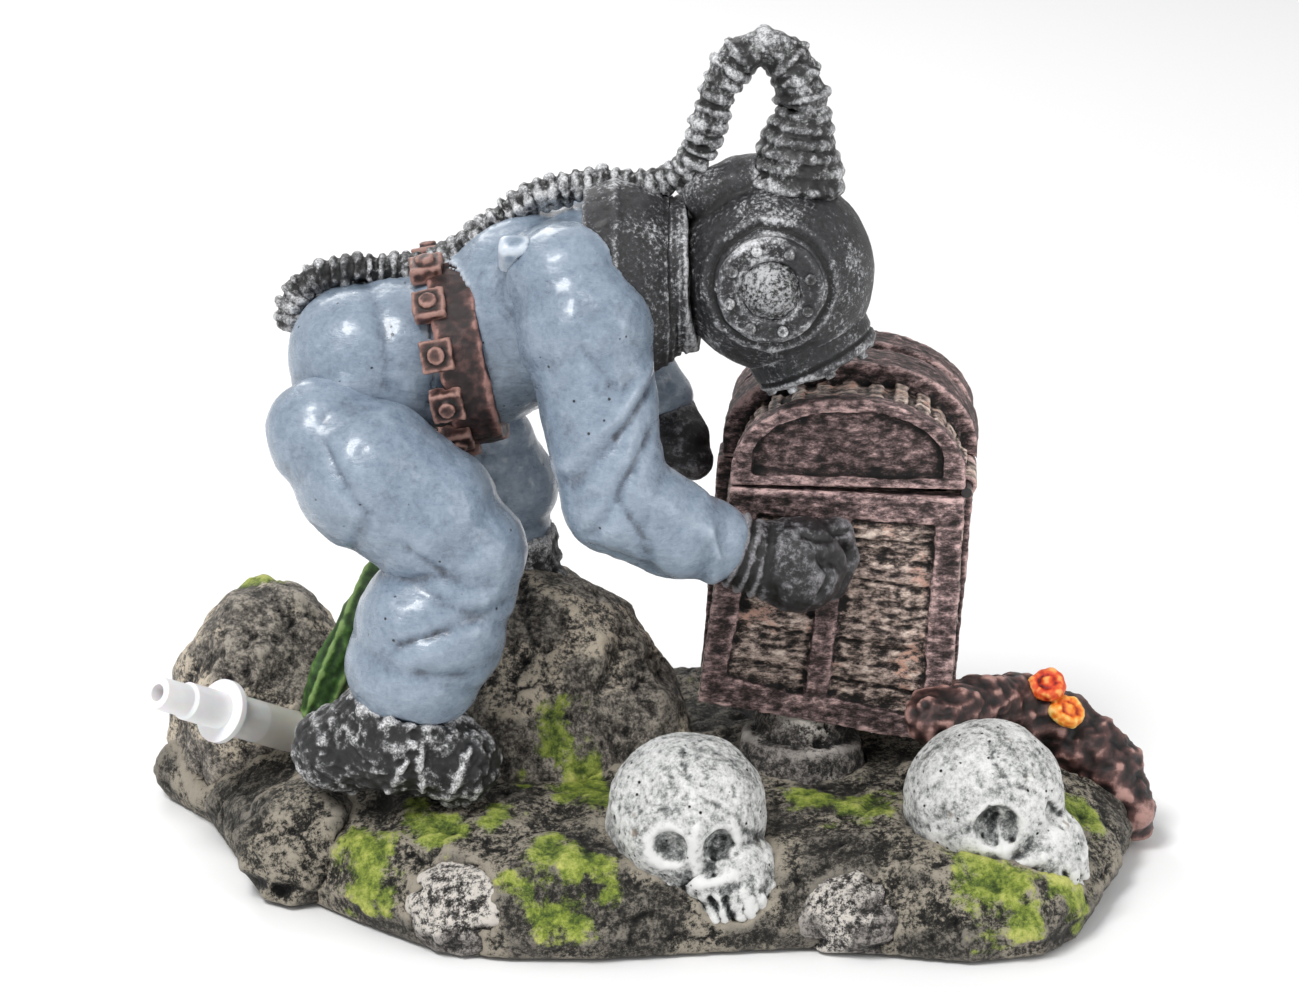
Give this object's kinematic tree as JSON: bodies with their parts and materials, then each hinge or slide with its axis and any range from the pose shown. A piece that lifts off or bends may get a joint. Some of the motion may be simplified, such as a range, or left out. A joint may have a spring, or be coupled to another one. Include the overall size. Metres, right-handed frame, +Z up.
{
  "type": "bubbling aquarium ornament",
  "caption": "Painted resin aquarium ornament: a helmet diver bends over a treasure chest on a rocky base; air from a side connector fills the chest and lifts its lid.",
  "frame": {"origin": "on the resting plane, under the middle of the whole ornament's box", "axes": "+Z up; +X along the base from the diver's feet to the chest; +Y to the back"},
  "size_m": [0.157, 0.0927, 0.1284],
  "materials": {
    "suit_blue": "satin",
    "blackened_silver": "satin",
    "boot_black": "satin",
    "belt_copper": "satin",
    "chest_brown": "matte",
    "rock_grey": "matte",
    "skull_white": "matte",
    "driftwood_maroon": "matte",
    "anemone_orange": "satin",
    "frond_green": "satin",
    "steel": "satin",
    "tube_translucent": "gloss",
    "connector_white": "satin"
  },
  "bodies": {
    "ornament": {"diver_hips": "suit_blue", "diver_torso": "suit_blue", "near_leg": "suit_blue", "far_leg": "suit_blue", "near_arm": "suit_blue", "far_arm": "suit_blue", "shoulder_buckles": "suit_blue", "corselet": "blackened_silver", "helmet": "blackened_silver", "near_window_frame": "blackened_silver", "far_window_frame": "blackened_silver", "front_window_frame": "blackened_silver", "near_window_glass": "blackened_silver", "far_window_glass": "blackened_silver", "front_window_glass": "blackened_silver", "window_bolts": "blackened_silver", "hose_crown": "blackened_silver", "back_hose": "blackened_silver", "near_boot": "boot_black", "far_boot": "boot_black", "near_glove": "boot_black", "far_glove": "boot_black", "weight_belt": "belt_copper", "belt_weights": "belt_copper", "chest_body": "chest_brown", "base_casting": "rock_grey", "rear_boulder": "rock_grey", "centre_boulder": "rock_grey", "back_rock": "rock_grey", "front_left_rock": "rock_grey", "front_stone_pale": "rock_grey", "front_stone_brown": "rock_grey", "chest_stump": "rock_grey", "skull_left": "skull_white", "skull_right": "skull_white", "driftwood_root": "driftwood_maroon", "anemone_red": "anemone_orange", "anemone_orange": "anemone_orange", "seaweed_frond": "frond_green", "hinge_pin": "steel", "air_tube": "tube_translucent", "hose_connector": "connector_white"},
    "lid": {"chest_lid": "chest_brown"}
  },
  "joints": [
    {"name": "lid_hinge", "type": "hinge", "parent": "ornament", "child": "lid", "pos_m": [0.04705, -0.00944, 0.0592], "axis": [0.0698, 0.9976, 0], "range_deg": [0, 6]}
  ]
}
